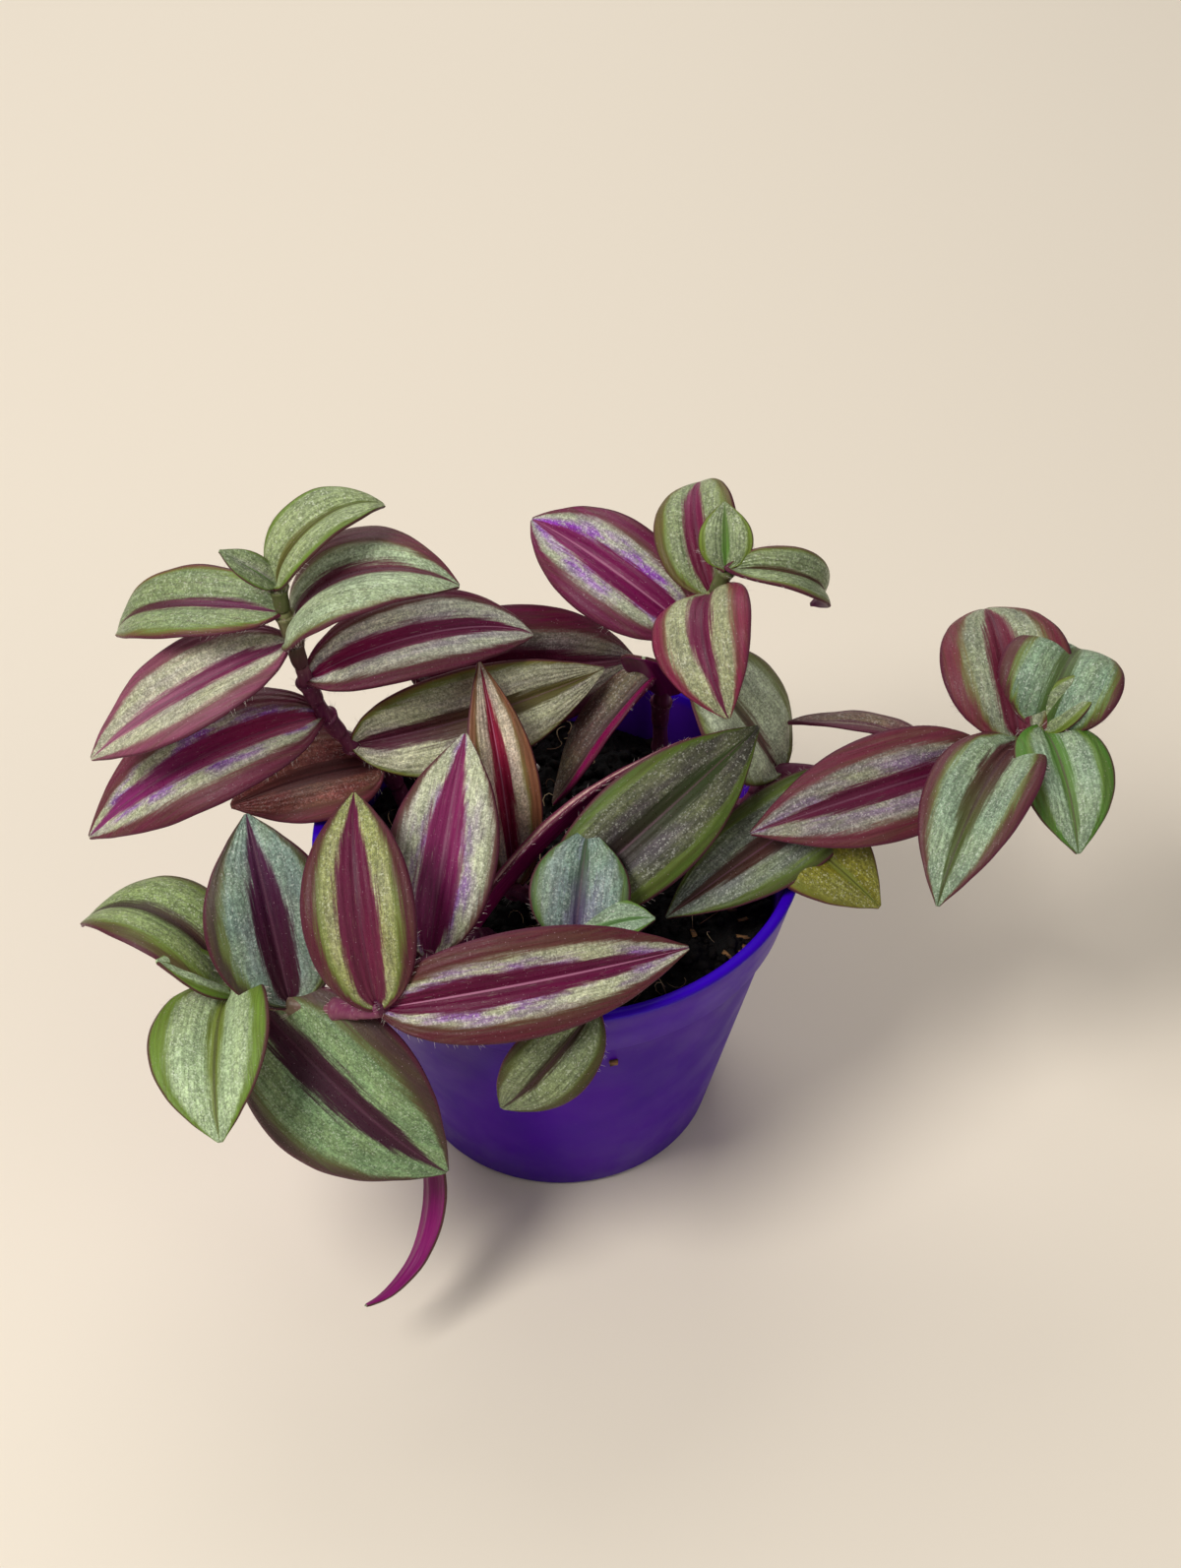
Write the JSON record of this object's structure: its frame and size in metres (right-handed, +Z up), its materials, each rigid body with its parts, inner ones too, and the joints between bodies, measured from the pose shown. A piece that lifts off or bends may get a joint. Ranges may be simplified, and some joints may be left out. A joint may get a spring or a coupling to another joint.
{
  "type": "potted tradescantia",
  "caption": "Young trailing tradescantia with silver-striped purple leaves on leafy shoots in a small tapered purple plastic nursery pot of dark potting soil.",
  "frame": {"origin": "centre of the pot's flat underside", "axes": "+Z up along the pot's axis; +X towards the long shoot that leans over the rim; -Y towards the front, where the other trailing shoot hangs"},
  "size_m": [0.1872, 0.1265, 0.1332],
  "materials": {
    "pot_plastic": "satin violet-blue injection-moulded plastic",
    "soil": "rough dark potting soil with fibres, bark and a few pale grains",
    "leaf": "fleshy leaf, silver-green bands with a fine glitter, maroon margins and centre, purple underside"
  },
  "bodies": {
    "root": {"pot": "pot_plastic", "soil": "soil", "shoot_left": "leaf", "shoot_tall": "leaf", "shoot_right": "leaf", "shoot_centre": "leaf", "shoot_front": "leaf", "shoot_back": "leaf"}
  },
  "joints": []
}
